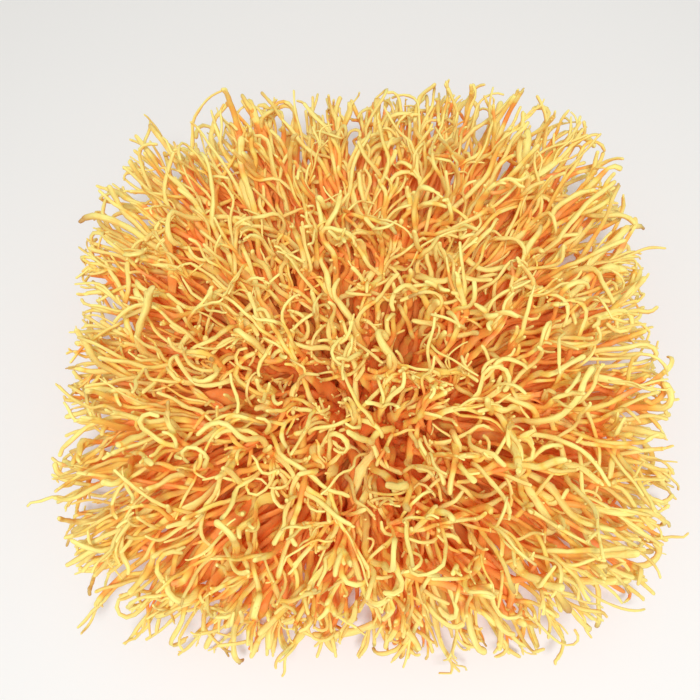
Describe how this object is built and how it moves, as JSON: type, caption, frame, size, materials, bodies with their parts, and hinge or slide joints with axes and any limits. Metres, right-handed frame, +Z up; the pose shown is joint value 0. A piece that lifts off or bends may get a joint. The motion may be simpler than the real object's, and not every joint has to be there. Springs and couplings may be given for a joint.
{
  "type": "dried cordyceps tuft",
  "caption": "Cushion-shaped tuft of slender dried fungus stems fanning out from a felted mat, cut flat underneath so that it stands by itself.",
  "frame": {"origin": "middle of the flat cut underside of the mat, under the middle of the whole tuft's box", "axes": "+Z up through the tuft, +X to the right and +Y to the back as seen from the front"},
  "size_m": [0.183, 0.1832, 0.0653],
  "materials": {
    "dried_stem": "matt, orange at the foot and pale yellow at the tips",
    "felted_mat": "matt, felted"
  },
  "bodies": {
    "root": {"mat": "felted_mat", "bundle_centre": "dried_stem", "bundle_inner_01": "dried_stem", "bundle_inner_02": "dried_stem", "bundle_inner_03": "dried_stem", "bundle_inner_04": "dried_stem", "bundle_inner_05": "dried_stem", "bundle_inner_06": "dried_stem", "bundle_middle_01": "dried_stem", "bundle_middle_02": "dried_stem", "bundle_middle_03": "dried_stem", "bundle_middle_04": "dried_stem", "bundle_middle_05": "dried_stem", "bundle_middle_06": "dried_stem", "bundle_middle_07": "dried_stem", "bundle_middle_08": "dried_stem", "bundle_middle_09": "dried_stem", "bundle_middle_10": "dried_stem", "bundle_middle_11": "dried_stem", "bundle_middle_12": "dried_stem", "bundle_outer_01": "dried_stem", "bundle_outer_02": "dried_stem", "bundle_outer_03": "dried_stem", "bundle_outer_04": "dried_stem", "bundle_outer_05": "dried_stem", "bundle_outer_06": "dried_stem", "bundle_outer_07": "dried_stem", "bundle_outer_08": "dried_stem", "bundle_outer_09": "dried_stem", "bundle_outer_10": "dried_stem", "bundle_outer_11": "dried_stem", "bundle_outer_12": "dried_stem", "bundle_outer_13": "dried_stem", "bundle_outer_14": "dried_stem", "bundle_outer_15": "dried_stem", "bundle_outer_16": "dried_stem"}
  },
  "joints": []
}
